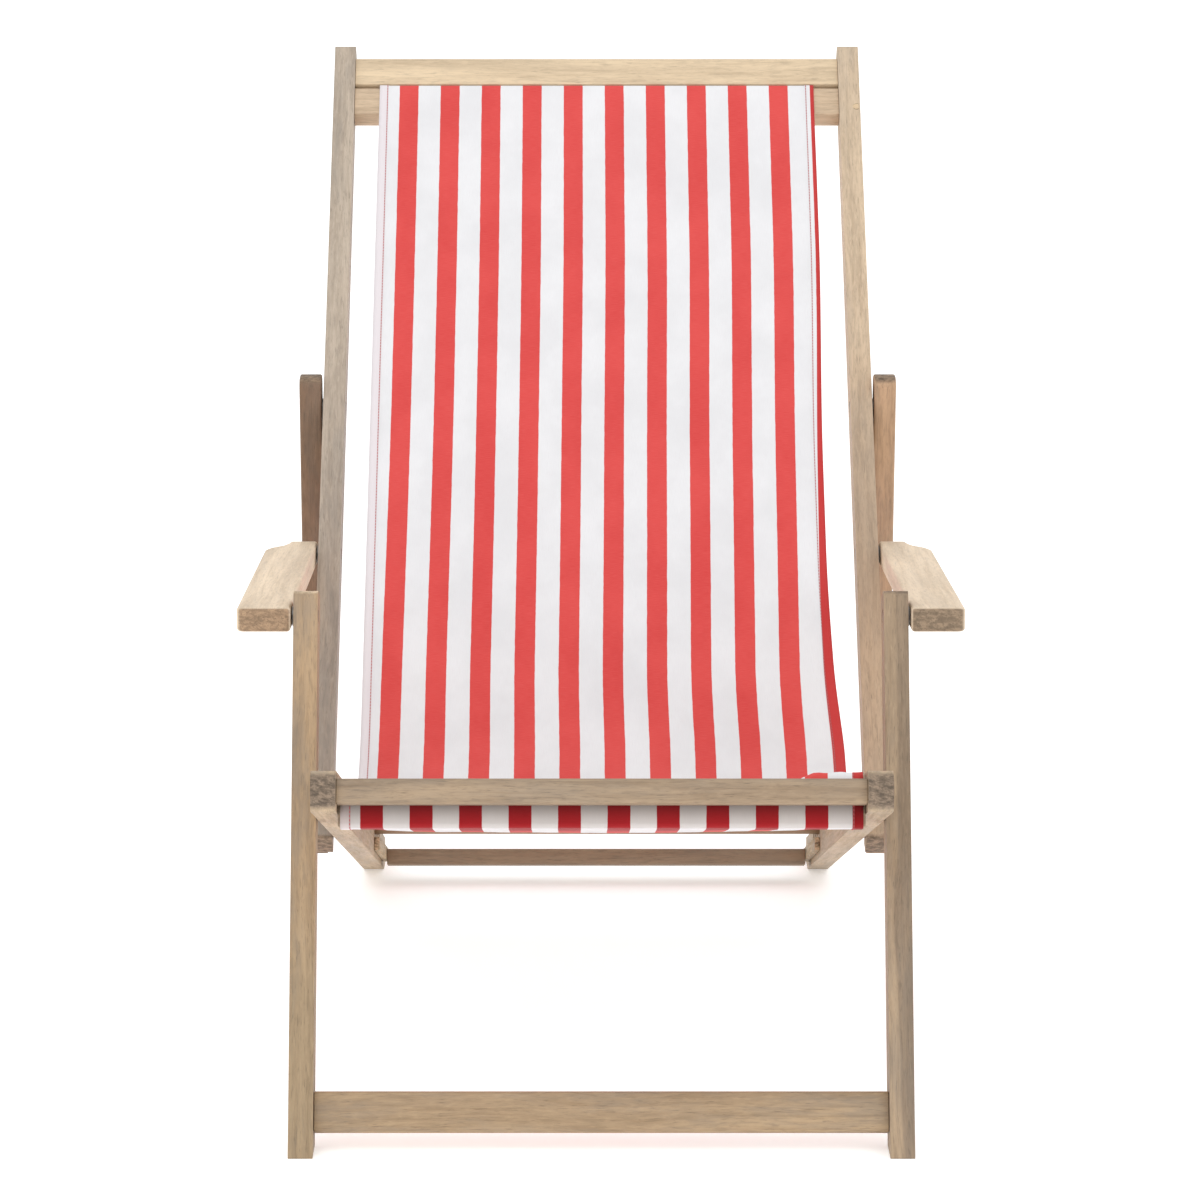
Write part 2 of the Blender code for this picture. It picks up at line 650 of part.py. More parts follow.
def front_dowel_place():
    """The front dowel lies in the sling rail's rebate, behind the front rail and over the slit."""
    front_end = FRONT_RAIL_S + FRONT_RAIL_LENGTH
    beside = DOWEL_RADIUS + CLOTH_THICK + 2 * SEAT_GAP
    return Vector((front_end + beside, DOWEL_LEDGE_W + beside))


def back_dowel_place():
    """The upper dowel lies behind the slit of the back."""
    head_low = back_rail_stations()[1]
    reach = DOWEL_RADIUS + CLOTH_THICK + 2 * SEAT_GAP
    rear = BACK_RAIL_DEPTH / 2 - BACK_FACE_RECESS - THICK
    return Vector((head_low - BACK_SLIT / 2, rear - math.sqrt(reach ** 2 - (BACK_SLIT / 2) ** 2)))


def hem_loop(center, toward, turn):
    """The hem's pocket round a dowel, open by a narrow gap, from its free end to the slit."""
    gap = math.radians(35)
    return arc(center, LOOP_RADIUS, toward + turn * gap, toward + turn * (2 * math.pi - gap), 12)


def sling_path():
    """Side view of the cloth's middle, from the front hem under the seat to the top hem."""
    seat_dowel = front_dowel_place()
    front_end = FRONT_RAIL_S + FRONT_RAIL_LENGTH
    slit = front_end + FRONT_SLIT / 2
    under = -SEAT_SLING_RAIL_DROP - CLOTH_OFFSET
    behind = front_end + FRONT_SLIT + SEAT_SLING_RAIL_THICK
    head_high, head_low, sling_high, sling_low = back_rail_stations()
    face = BACK_RAIL_DEPTH / 2 - BACK_FACE_RECESS + CLOTH_OFFSET
    back_slit = head_low - BACK_SLIT / 2
    back_dowel = back_dowel_place()
    neck = LOOP_RADIUS + 2 * CLOTH_THICK

    def seat_corner(s, w, radius):
        return (*SEAT.point(s, w), radius)

    def back_corner(s, w, radius):
        return (*BACK.point(s, w), radius)

    route = rounded([
        seat_corner(slit, seat_dowel.y - neck, 0),
        seat_corner(slit, under, 4 * MM),
        seat_corner(behind, under, 6 * MM),
        (BELLY_DEPTH, BELLY_HEIGHT, BELLY_RADIUS),
        back_corner(sling_low - LONG_EDGE_ROUND, face, 12 * MM),
        back_corner(back_slit, face, 2.5 * MM),
        back_corner(back_slit, back_dowel.y + neck, 0),
    ], closed=False, steps=6)
    front_loop = [SEAT.point(*p) for p in hem_loop(seat_dowel, math.radians(-90), 1)]
    top_loop = [BACK.point(*p) for p in hem_loop(back_dowel, math.radians(90), -1)]
    return front_loop + route + list(reversed(top_loop))


def split_long_steps(points, longest):
    """Add points so that no step of the path is longer than asked."""
    result = [points[0]]
    for here, there in zip(points, points[1:]):
        count = max(1, math.ceil((there - here).length / longest))
        for i in range(1, count + 1):
            result.append(here.lerp(there, i / count))
    return result


def build_sling():
    """The canvas: one sheet drawn along its side view, thickened to a closed solid."""
    path = split_long_steps(sling_path(), CLOTH_STEP)
    columns = 6
    mesh = bpy.data.meshes.new("sling")
    shape = bmesh.new()
    rows = []
    for y, z in path:
        row = []
        for i in range(columns + 1):
            x = (i / columns - 0.5) * CLOTH_WIDTH
            row.append(shape.verts.new((x, y, z)))
        rows.append(row)
    for low, high in zip(rows, rows[1:]):
        for i in range(columns):
            shape.faces.new((low[i], low[i + 1], high[i + 1], high[i]))
    shape.to_mesh(mesh)
    shape.free()
    obj = bpy.data.objects.new("sling", mesh)
    link(obj, PARTS, CHAIR, CANVAS)
    shell = obj.modifiers.new("cloth", "SOLIDIFY")
    shell.thickness = CLOTH_THICK
    shell.offset = 0


def center_on_origin():
    """Slide the whole chair along Y until its box is centred on the origin."""
    bpy.context.view_layer.update()
    graph = bpy.context.evaluated_depsgraph_get()
    lows, highs = [], []
    for obj in PARTS.objects:
        if obj.type != "MESH":
            continue
        evaluated = obj.evaluated_get(graph)
        depths = [(evaluated.matrix_world @ vertex.co).y for vertex in evaluated.data.vertices]
        lows.append(min(depths))
        highs.append(max(depths))
    CHAIR.empty.location.y = -(min(lows) + max(highs)) / 2
    bpy.context.view_layer.update()


clear_scene()
PARTS = new_collection("deck_chair")
CUTTERS = new_collection("cutters")

WOOD_PALE = make_material("pale_teak", (0.72, 0.58, 0.42), 0.6)
WOOD_BACK = make_material("back_teak", (0.55, 0.44, 0.33), 0.65)
WOOD_SEAT = make_material("seat_teak", (0.50, 0.37, 0.26), 0.65)
WOOD_LEG = make_material("leg_teak", (0.42, 0.31, 0.21), 0.65)
WOOD_DARK = make_material("dark_teak", (0.26, 0.17, 0.12), 0.7)
STEEL = make_material("zinc_steel", (0.55, 0.55, 0.56), 0.35, 1.0)
CANVAS = make_material("canvas", (0.72, 0.10, 0.09), 0.9)

CHAIR = Frame("chair", None, 0, 0, 0)
SEAT = Frame("seat_frame", CHAIR, 0, SEAT_FRONT_HEIGHT, -SEAT_SLOPE)
RAIL_END_S = SEAT.level(-SEAT_RAIL_DEPTH / 2, 0).x
RACK_FIRST_S = RAIL_END_S - RACK_FIRST_FROM_END
LEG = Frame("leg_pivot", SEAT, LEG_PIVOT_S, 0, LEG_ANGLE)
BACK = Frame("back_pivot", SEAT, BACK_PIVOT_S, 0, BACK_ANGLE)

# The armrest runs from its pivot on the leg to its pivot on the back
ARM_FRONT = LEG.point(ARM_LEG_PIVOT_S, 0)
ARM_REACH = BACK.point(ARM_BACK_PIVOT_S, 0) - ARM_FRONT
ARM_LENGTH = ARM_REACH.length
ARM = Frame("arm_pivot", LEG, ARM_LEG_PIVOT_S, 0, math.atan2(ARM_REACH.y, ARM_REACH.x))

# The prop runs from its pivot on the back to the crossbar's place in the first notch
PROP_HINGE = BACK.point(PROP_PIVOT_S, 0)
CROSSBAR_PLACE = SEAT.point(RACK_FIRST_S, RACK_SEAT_W + SEAT_GAP + CROSSBAR_NOSE)
PROP_REACH = PROP_HINGE - CROSSBAR_PLACE
PROP_LENGTH = PROP_REACH.length
PROP = Frame("prop_pivot", BACK, PROP_PIVOT_S, 0, math.atan2(PROP_REACH.y, PROP_REACH.x))

SEAT_RAILS = build_seat_rails()
RACK_STRIPS = build_rack_strips()
build_seat_cross_members(SEAT_RAILS, RACK_STRIPS)
build_legs()
build_back()
build_prop()
build_arms()
build_hardware()
dowel("front_dowel", SEAT, *front_dowel_place(), DOWEL_RADIUS, DOWEL_LENGTH, WOOD_PALE)
dowel("top_dowel", BACK, *back_dowel_place(), DOWEL_RADIUS, DOWEL_LENGTH, WOOD_PALE)
build_sling()
center_on_origin()
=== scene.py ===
import json
import math

import bmesh
import bpy
from mathutils import Matrix, Vector, noise

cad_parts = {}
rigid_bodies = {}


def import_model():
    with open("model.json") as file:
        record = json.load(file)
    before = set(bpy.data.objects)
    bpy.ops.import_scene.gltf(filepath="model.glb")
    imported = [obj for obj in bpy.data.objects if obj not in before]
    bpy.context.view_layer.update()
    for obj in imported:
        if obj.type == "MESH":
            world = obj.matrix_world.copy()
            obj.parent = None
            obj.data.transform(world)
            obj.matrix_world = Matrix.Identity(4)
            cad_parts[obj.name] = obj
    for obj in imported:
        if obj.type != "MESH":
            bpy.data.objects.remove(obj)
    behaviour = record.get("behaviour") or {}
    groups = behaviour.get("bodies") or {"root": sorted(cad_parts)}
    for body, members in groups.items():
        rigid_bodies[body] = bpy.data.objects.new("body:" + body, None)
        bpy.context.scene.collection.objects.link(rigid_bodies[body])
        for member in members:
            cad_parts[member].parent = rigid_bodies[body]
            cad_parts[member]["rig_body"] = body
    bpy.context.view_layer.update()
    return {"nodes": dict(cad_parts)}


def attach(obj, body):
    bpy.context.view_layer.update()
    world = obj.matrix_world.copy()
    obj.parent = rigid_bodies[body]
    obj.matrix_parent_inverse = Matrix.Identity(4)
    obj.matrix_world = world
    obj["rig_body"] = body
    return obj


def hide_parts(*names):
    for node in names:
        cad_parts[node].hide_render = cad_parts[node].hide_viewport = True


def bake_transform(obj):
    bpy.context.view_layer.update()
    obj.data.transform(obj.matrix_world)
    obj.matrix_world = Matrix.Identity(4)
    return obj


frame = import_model()
NODES = frame["nodes"]

# Where each member starts in the side view (Y, Z) and how it slopes, as in the part's source.
# All sizes are in metres.
SEAT_AT = (-0.533545, 0.3367)
SEAT_ANGLE = math.radians(-17.46)
LEG_AT = (-0.389503, 0.291394)
LEG_ANGLE = math.radians(68.5)
BACK_AT = (-0.114581, 0.204922)
BACK_ANGLE = math.radians(46.6)
ARM_AT = (-0.327674, 0.448355)
ARM_ANGLE = math.radians(-3.34)
PROP_AT = (0.213847, 0.552225)
PROP_ANGLE = math.radians(95.1)
SEAT_UP = Vector((-math.sin(SEAT_ANGLE), math.cos(SEAT_ANGLE)))

# Boards: how close corners are merged, the turn up to which faces count as one, and the turn
# past which an edge looks crisp. An edge is sanded to (radius, in so many steps, from this
# angle on).
MERGE = 0.00002
FLAT_DEGREES = 1.0
CRISP_DEGREES = 40
LONG_EDGE = (0.0016, 3, 28)
CROSS_EDGE = (0.0012, 2, 40)
STRIP_EDGE = (0.0006, 2, 50)
ARM_EDGE = (0.0045, 5, 50)
ARM_CRISP_DEGREES = 35

# Armrest: half its thickness, and its plan as (across, along, corner radius)
ARM_HALF = 0.011
ARM_IN = 0.2795
ARM_OUT = 0.328
ARM_FRONT = -0.0246
ARM_REAR = 0.4400
ARM_PLAN = [
    (ARM_IN, ARM_FRONT, 0.004), (ARM_OUT, ARM_FRONT, 0.007), (ARM_OUT, 0.376, 0.010),
    (0.3235, 0.392, 0.008), (0.3125, 0.409, 0.007), (0.3085, 0.424, 0.008),
    (0.3064, ARM_REAR, 0.003), (ARM_IN, ARM_REAR, 0.003)]

# Plug over a screw on the right back rail: place on the rail, place across, radius, and the
# rail's own edge, where the plug is cut off. Its rings are (share of the radius, height).
PLUG_AT = (0.848, 0.018)
PLUG_ACROSS = 0.2732
PLUG_RADIUS = 0.0034
PLUG_LIMIT = 0.2753
PLUG_RINGS = ((1.18, -0.0010), (1.18, 0.0001), (0.98, 0.00015), (0.86, 0.0005))
PLUG_SIDES = 32

# Canvas: the cloth, its hems and the loops round the dowels
CLOTH_WIDTH = 0.457
CLOTH_THICK = 0.0012
CLOTH_GAP = 0.0003
CLOTH_OFFSET = CLOTH_GAP + CLOTH_THICK / 2
CLOTH_STEP = 0.007
CLOTH_STRIPS = 92
DOWEL_RADIUS = 0.005
LOOP_RADIUS = DOWEL_RADIUS + CLOTH_OFFSET
LOOP_OPENING = math.radians(35)
LOOP_STEPS = 22
HEM = 0.0098
HEM_THICK = 0.0021
HEM_STEP = 0.0007
SEAM_IN = 0.0084
HEM_COLUMNS = [0.0, 0.0040, SEAM_IN, HEM - HEM_STEP, HEM]
STITCH_PITCH = 0.0036
STITCH_LENGTH = 0.0027
THREAD = 0.0004

# The cloth's way through the frame: the slits, the faces that it lies on, the belly, and the
# radius of each bend
FRONT_LEDGE = (0.034, -0.0025)
FRONT_SLIT, FRONT_SLIT_BEND = 0.036, 0.004
RAIL_REAR, RAIL_REAR_BEND = 0.060, 0.006
RAIL_UNDER = -0.029
BELLY_DEPTH = 0.363
BELLY_HEIGHT = 0.2095
BELLY_RADIUS = 0.250
BACK_RAIL_LOW, BACK_RAIL_BEND = 0.8395 - 0.003, 0.012
BACK_RAIL_FACE = 0.016
BACK_SLIT, BACK_SLIT_BEND = 0.877, 0.0025
BACK_SLIT_HALF = 0.002
BACK_RAIL_REAR = -0.006

# How the hung cloth differs from its plain path, with lengths from the front hem. It comes
# loose from the two loops over LOOSE_OVER. Ripples are (height, across, along, seed). A span
# is where something starts, is full, fades and ends.
FRONT_LOOP = 0.060
TOP_LOOP = 0.075
LOOSE_OVER = (0.12, 0.10)
CURL, CURL_FROM, CURL_OVER = 0.0032, 0.72, 0.28
SAG = 0.0022
RIPPLES = ((0.0011, 7, 3.5, 1.7), (0.00035, 42, 10, 4.2))
CRUMPLE, CRUMPLE_FROM, CRUMPLE_OVER = 0.0082, 0.166, 0.024
CREASE, CREASE_WAVES, CREASE_SEED = 0.28, 60, 0.5
WAIST, WAIST_SPAN = 0.0042, (0.45, 0.57, 0.80, 1.10)
FLARE, FLARE_SPAN = 0.0060, (0.36, 0.42, 0.44, 0.70)
FLARE_EDGE = (CLOTH_WIDTH - 0.020, CLOTH_WIDTH - 0.002)

# Stripes across the cloth: where the first one starts and how wide the last red one is, at
# the seat and at the back, and the lengths between which each changes. RED_SPAN is in shares
# of the pitch.
STRIPE_PITCH = 0.0432
STRIPE_START, STRIPE_SHIFTS = (0.0172, 0.0207), (0.40, 0.90)
RED_SPAN = (0.0, 0.014, 0.462, 0.476)
WHITE_EDGE = 0.012
RED_EDGE, RED_EDGE_SHIFTS = (0.0095, 0.0040), (0.45, 1.00)
YARN = 0.00105
WAVER, FUZZ = 0.0009, 0.0003
SEAM_DIP = (0.0003, 0.0009)

# Where the front rail shades the cloth, as lengths from the front hem
UNDER_RAIL = (0.030, 0.034, 0.058, 0.066)
BELOW_RAIL = (0.055, 0.060, 0.090, 0.160)
BEHIND_ROLL = (0.030, 0.034, 0.037, 0.056)

# The photograph's frame and camera: lens and sideways shift in pixels, downward tilt in degrees
PHOTO_WIDTH = 1200.0
FOCAL_PIXELS = 4700.0
SHIFT_PIXELS = 28.0
SENSOR = 36.0
CAMERA_AT = (-0.026, -3.970 - 0.519545, 1.310)
CAMERA_DOWN = 11.5


# ---------------------------------------------------------------- node helpers
class S:
    """A node's output with arithmetic, so that a material reads as a formula."""

    tree = None

    def __init__(self, socket):
        self.socket = socket

    @staticmethod
    def put(socket, value):
        if isinstance(value, S):
            S.tree.links.new(value.socket, socket)
        elif isinstance(value, tuple) and len(value) == 3 and socket.type == "RGBA":
            socket.default_value = (*value, 1.0)
        else:
            socket.default_value = value

    @staticmethod
    def node(kind, sockets, output=0, **settings):
        """A node of one kind: its settings first, then the values or links of its sockets."""
        made = S.tree.nodes.new(kind)
        for name, value in settings.items():
            setattr(made, name, value)
        for key, value in sockets.items():
            S.put(made.inputs[key], value)
        return S(made.outputs[output]) if made.outputs else None

    @staticmethod
    def math(operation, a, b=0.0):
        return S.node("ShaderNodeMath", {0: a, 1: b}, operation=operation)

    def out(self, name):
        """Another output of the same node."""
        return S(self.socket.node.outputs[name])

    def __add__(self, other):
        return S.math("ADD", self, other)

    def __radd__(self, other):
        return S.math("ADD", self, other)

    def __sub__(self, other):
        return S.math("SUBTRACT", self, other)

    def __rsub__(self, other):
        return S.math("SUBTRACT", other, self)

    def __mul__(self, other):
        return S.math("MULTIPLY", self, other)

    def __rmul__(self, other):
        return S.math("MULTIPLY", self, other)

    def __truediv__(self, other):
        return S.math("DIVIDE", self, other)

    def __gt__(self, other):
        return S.math("GREATER_THAN", self, other)

    def abs(self):
        return S.math("ABSOLUTE", self)

    def fract(self):
        return S.math("FRACT", self)

    def sin(self):
        return S.math("SINE", self)


def smooth(a, low, high):
    """0 below low, 1 above high, smooth between."""
    return S.node("ShaderNodeMapRange", {0: a, 1: low, 2: high}, interpolation_type="SMOOTHSTEP")


def band(a, start, full, fade, end):
    """1 between full and fade, 0 outside start and end."""
    return smooth(a, start, full) * (1.0 - smooth(a, fade, end))


def either(a, b):
    return S.math("MAXIMUM", a, b)


def mix(factor, a, b, blend="MIX"):
    """A colour between a and b, or a blended with b."""
    return S.node("ShaderNodeMix", {0: factor, 6: a, 7: b}, 2, data_type="RGBA", blend_type=blend)


def pick(factor, a, b):
    """A number between a and b."""
    return S.node("ShaderNodeMix", {0: factor, 2: a, 3: b})


def combine(x, y, z):
    return S.node("ShaderNodeCombineXYZ", {0: x, 1: y, 2: z})


def split(vector):
    parts = S.node("ShaderNodeSeparateXYZ", {0: vector})
    return [parts.out(way) for way in range(3)]


def cloud(vector, scale, detail=3.0, roughness=0.55, distortion=0.0):
    return S.node("ShaderNodeTexNoise", {
        "Vector": vector, "Scale": scale, "Detail": detail, "Roughness": roughness,
        "Distortion": distortion})


def coordinates(output="Object"):
    return S.node("ShaderNodeTexCoord", {}, output)


def srgb(r, g, b):
    """A 0-255 screen colour as the linear one that nodes take."""
    return tuple(c / 12.92 if c <= 0.04045 else ((c + 0.055) / 1.055) ** 2.4
                 for c in (r / 255, g / 255, b / 255))


def toned(color, factor):
    """A colour made darker or lighter, by one factor or by one for each channel."""
    factors = factor if isinstance(factor, tuple) else (factor,) * 3
    return tuple(c * f for c, f in zip(color, factors))


def start_material(name):
    material = bpy.data.materials.new(name)
    material.use_nodes = True
    S.tree = material.node_tree
    return material, S.tree.nodes["Principled BSDF"]


def finish_material(shader, color, roughness, height=None, strength=0.0, distance=0.0, **extra):
    """Wire the shader up. Extra sockets are named with _ for a space."""
    S.put(shader.inputs["Base Color"], color)
    S.put(shader.inputs["Roughness"], roughness)
    for key, value in extra.items():
        S.put(shader.inputs[key.replace("_", " ")], value)
    if height is not None:
        bump = S.node("ShaderNodeBump", {"Strength": strength, "Distance": distance,
                                         "Height": height})
        S.put(shader.inputs["Normal"], bump)


# ---------------------------------------------------------------- materials
def along_member(angle, origin, axis):
    """Places across, along and square to a member's grain, and how far a face is end grain.

    Axis "s" is grain along the member, at its angle in the side view, and "x" grain across
    the chair."""
    x, y, z = split(coordinates())
    cos, sin = math.cos(angle), math.sin(angle)
    y0, z0 = origin
    s = (y - y0) * cos + (z - z0) * sin
    w = (z - z0) * cos - (y - y0) * sin
    nx, ny, nz = split(coordinates("Normal"))
    if axis == "s":
        return x, s, w, (ny * cos + nz * sin).abs()
    return s, x, w, nx.abs()


def figure(place, rates, seeds, *look):
    """A layer of the wood's figure: a cloud with its own rate and seed each way."""
    return cloud(combine(*(way * rate + seed if seed else way * rate
                           for way, rate, seed in zip(place, rates, seeds))), *look)


def wood(name, base, angle, origin, axis="s", weather=0.0, seed=0.0, gradient=None,
         sideways=None, end_color=(128, 108, 88), contrast=1.0):
    """Oiled, sun-worn hardwood with the grain along the member."""
    material, shader = start_material(name)
    across, along, square, end_face = along_member(angle, origin, axis)
    board = (across, along, square)
    wobble = figure(board, (3.0, 1.6, 3.0), (seed, 0, 0), 3.0, 2.0) - 0.5
    bent = (across + wobble * 0.016, along, square + wobble * 0.012)
    broad = figure(bent, (22.0, 1.3, 22.0), (seed, seed, 0), 2.4, 4.0, 0.6, 0.3)
    streak = figure(bent, (105.0, 3.6, 105.0), (0, seed, seed), 2.4, 4.0, 0.66, 0.2)
    fine = figure(bent, (330.0, 11.0, 330.0), (0, seed, 0), 2.8, 3.0, 0.7)
    pores = figure(bent, (640.0, 34.0, 640.0), (0, 0, seed), 2.0, 2.0, 0.6)
    fleck = figure(bent, (150.0, 26.0, 150.0), (seed, 0, 0), 2.4, 3.0, 0.65, 0.2)
    blotch = figure(board, (6.0, 5.0, 6.0), (0, seed, 0), 1.6, 3.0, 0.6)

    mid = srgb(*base)
    color = mix(smooth(broad, 0.28, 0.72), toned(mid, (0.83, 0.81, 0.79)),
                toned(mid, (1.16, 1.15, 1.13)))
    # Each layer over the last: from where to where it sets in, how strongly, and its tone
    for layer, start, full, share, tone in (
            (streak, 0.46, 0.72, 0.60 * contrast, (0.66, 0.62, 0.58)),
            (fine, 0.50, 0.74, 0.50 * contrast, 0.56),
            (pores, 0.60, 0.70, 0.55 * contrast, 0.34),
            (fleck, 0.52, 0.68, 0.42 * contrast, 0.62),
            (fleck, 0.48, 0.34, 0.35 * contrast, 1.22),
            (blotch, 0.40, 0.78, 0.30, 0.80)):
        color = mix(smooth(layer, start, full) * share, color, toned(mid, tone))
    if weather:
        grey = sum(mid) / 3
        worn = figure(bent, (14.0, 2.4, 14.0), (0, seed * 2, 0), 1.9, 5.0, 0.7)
        color = mix(smooth(worn, 0.42, 0.64) * weather, color,
                    (grey * 0.66, grey * 0.60, grey * 0.53))
    if gradient:
        start, stop, tone = gradient
        color = mix(smooth(along, start, stop), color, tone, "MULTIPLY")
    if sideways:
        start, stop, tone = sideways
        color = mix(smooth(across + wobble * 0.02, start, stop), color, tone, "MULTIPLY")

    end = srgb(*end_color)
    cells = figure(board, (420.0, 420.0, 420.0), (0, 0, seed), 1.6, 4.0, 0.6)
    checks = cloud(combine(across * 95.0 + square * 52.0, along * 95.0, square * 190.0 + seed),
                   1.2, 4.0, 0.68, 0.3)
    end_grain = mix(smooth(checks, 0.36, 0.64), toned(end, 1 - 0.50 * contrast),
                    toned(end, 1 + 0.34 * contrast))
    end_grain = mix(smooth(cells, 0.50, 0.68) * 0.55, end_grain, toned(end, 0.40))
    color = mix(smooth(end_face, 0.40, 0.90), color, end_grain)
    roughness = pick(smooth(streak, 0.3, 0.7), 0.50, 0.68)
    height = streak * 0.30 + fine * 0.55 - smooth(pores, 0.58, 0.72) * 0.6
    finish_material(shader, color, roughness, height, 0.35, 0.0006, Specular_IOR_Level=0.35)
    return material


def steel():
    """Zinc-plated steel with spots of rust."""
    material, shader = start_material("zinc_steel")
    x, y, z = split(coordinates())
    spots = cloud(combine(x * 90.0, y * 90.0, z * 90.0), 3.0, 4.0, 0.6)
    fine = cloud(combine(x * 900.0, y * 900.0, z * 900.0), 2.0, 2.0)
    rust = smooth(spots, 0.60, 0.74)
    zinc = mix(spots, srgb(112, 109, 106), srgb(146, 142, 138))
    finish_material(shader, mix(rust * 0.7, zinc, srgb(92, 66, 50)), pick(rust, 0.46, 0.8),
                    fine + rust * 0.6, 0.15, 0.0003, Metallic=pick(rust, 0.85, 0.2))
    return material


def canvas():
    """Woven cotton in red and white stripes: u runs across the cloth, v from the front hem."""
    material, shader = start_material("striped_canvas")
    u, v, _ = split(S.node("ShaderNodeUVMap", {}, uv_map="Cloth"))
    waver = cloud(combine(u * 10.0, v * 24.0, 0.0), 3.0, 3.0) - 0.5
    fuzz = cloud(combine(u * 900.0, v * 900.0, 0.0), 2.0, 2.0) - 0.5

    # Stripes: all white at the left edge, with a last narrow red one at the right
    shift = pick(smooth(v, *STRIPE_SHIFTS), *STRIPE_START)
    phase = ((u + waver * WAVER + fuzz * FUZZ - shift) / STRIPE_PITCH + 1.0).fract()
    last_red = pick(smooth(v, *RED_EDGE_SHIFTS), *RED_EDGE)
    right_edge = smooth(u + last_red + fuzz * 0.0005, CLOTH_WIDTH - 0.0003, CLOTH_WIDTH + 0.0003)
    red = either(band(phase, *RED_SPAN) * (u > WHITE_EDGE), right_edge)

    weave = ((u / YARN) * math.tau).sin() * ((v / YARN) * math.tau).sin()
    slub = cloud(combine(u * 60.0, v * 1100.0, 0.0), 2.0, 2.0)
    slub_along = cloud(combine(u * 1100.0, v * 45.0, 0.0), 2.0, 2.0)
    faded = smooth(cloud(combine(u * 9.0, v * 7.0, 0.0), 1.4, 4.0, 0.6), 0.3, 0.7)
    red_cloth = mix(faded, srgb(206, 65, 63), srgb(215, 75, 72))
    red_cloth = mix(smooth(slub, 0.35, 0.7) * 0.25, red_cloth, srgb(224, 104, 100))
    red_cloth = mix(right_edge * 0.6, red_cloth, srgb(176, 38, 40))
    white_cloth = mix(faded, srgb(219, 219, 221), srgb(228, 228, 230))
    white_cloth = mix(smooth(slub_along, 0.4, 0.75) * 0.3, white_cloth, srgb(214, 211, 214))
    # Painted shade: the left hem's white is a little darker and cooler than the rest
    white_cloth = mix(1.0 - smooth(u, HEM - 0.0006, HEM), white_cloth, srgb(223, 216, 219))
    color = mix(red, white_cloth, red_cloth)

    # The front rail's shade, and the hems' seams, which draw the cloth in
    lower_face = 1.0 - smooth(split(coordinates("Normal"))[2], -0.25, 0.15)
    under_rail = band(v, *UNDER_RAIL)
    shaded = either(under_rail, lower_face * band(v, *BELOW_RAIL))
    color = mix(shaded * red, color, (0.50, 0.14, 0.21), "MULTIPLY")
    color = mix(under_rail * (1.0 - red), color, (0.80, 0.75, 0.71), "MULTIPLY")
    color = mix(band(v, *BEHIND_ROLL), color, (0.50, 0.47, 0.45), "MULTIPLY")
    seam = either(*(1.0 - smooth((u - line).abs(), *SEAM_DIP)
                    for line in (SEAM_IN, CLOTH_WIDTH - SEAM_IN)))
    color = mix(seam * 0.45, color, srgb(150, 92, 92))
    height = weave * 0.35 + slub * 0.5 + slub_along * 0.4 - seam * 1.2
    finish_material(shader, color, 0.86, height, 0.30, 0.0004, Sheen_Weight=0.12,
                    Sheen_Roughness=0.5, Specular_IOR_Level=0.2)
    return material


def thread():
    """Faded red sewing thread."""
    material, shader = start_material("hem_thread")
    x, y, z = split(coordinates())
    twist = cloud(combine(x * 1500.0, y * 1500.0, z * 1500.0), 2.0, 2.0)
    color = mix(smooth(twist, 0.3, 0.7), srgb(168, 66, 70), srgb(204, 104, 106))
    finish_material(shader, color, 0.75, twist, 0.2, 0.0002)
    return material


def floor_paint():
    material, shader = start_material("pale_floor")
    finish_material(shader, srgb(255, 255, 255), 0.9, Emission_Color=(1.0, 1.0, 1.0, 1.0),
                    Emission_Strength=0.34)
    return material


# ---------------------------------------------------------------- shapes
def at(origin, angle, s, w):
    """The side view's point that is s along a member and w square to it."""
    cos, sin = math.cos(angle), math.sin(angle)
    return Vector((origin[0] + s * cos - w * sin, origin[1] + s * sin + w * cos))


def add_object(name, data):
    obj = bpy.data.objects.new(name, data)
    bpy.context.scene.collection.objects.link(obj)
    return obj


def mesh_object(name, verts, faces, material):
    mesh = bpy.data.meshes.new(name)
    mesh.from_pydata([tuple(v) for v in verts], [], faces)
    mesh.materials.append(material)
    mesh.update()
    return add_object(name, mesh)


def apply_modifiers(obj):
    graph = bpy.context.evaluated_depsgraph_get()
    graph.update()
    mesh = bpy.data.meshes.new_from_object(obj.evaluated_get(graph))
    obj.modifiers.clear()
    obj.data = mesh


def shade_by_angle(obj, degrees):
    """Smooth shading, apart from edges that turn by more than this."""
    mesh = obj.data
    mesh.shade_smooth()
    shape = bmesh.new()
    shape.from_mesh(mesh)
    for edge in shape.edges:
        flat = len(edge.link_faces) == 2 and edge.calc_face_angle(0) < math.radians(degrees)
        edge.smooth = flat
    shape.to_mesh(mesh)
    shape.free()


def sand_edges(obj, edge, crisp_degrees):
    """Round a board's edges, given as (radius, steps, least angle in degrees)."""
    radius, steps, degrees = edge
    bevel = obj.modifiers.new("sanded", "BEVEL")
    bevel.width = radius
    bevel.segments = steps
    bevel.limit_method = "ANGLE"
    bevel.angle_limit = math.radians(degrees)
    apply_modifiers(obj)
    shade_by_angle(obj, crisp_degrees)


def shaped(name, material, node, edge):
    """A CAD node's own board with its edges sanded round, in place of the node."""
    mesh = NODES[node].data.copy()
    obj = add_object(name, mesh)
    mesh.materials.clear()
    mesh.materials.append(material)
    shape = bmesh.new()
    shape.from_mesh(mesh)
    bmesh.ops.remove_doubles(shape, verts=shape.verts, dist=MERGE)
    bmesh.ops.dissolve_limit(shape, angle_limit=math.radians(FLAT_DEGREES), verts=shape.verts,
                             edges=shape.edges)
    shape.to_mesh(mesh)
    shape.free()
    sand_edges(obj, edge, CRISP_DEGREES)
    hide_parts(node)
    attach(obj, NODES[node]["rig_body"])


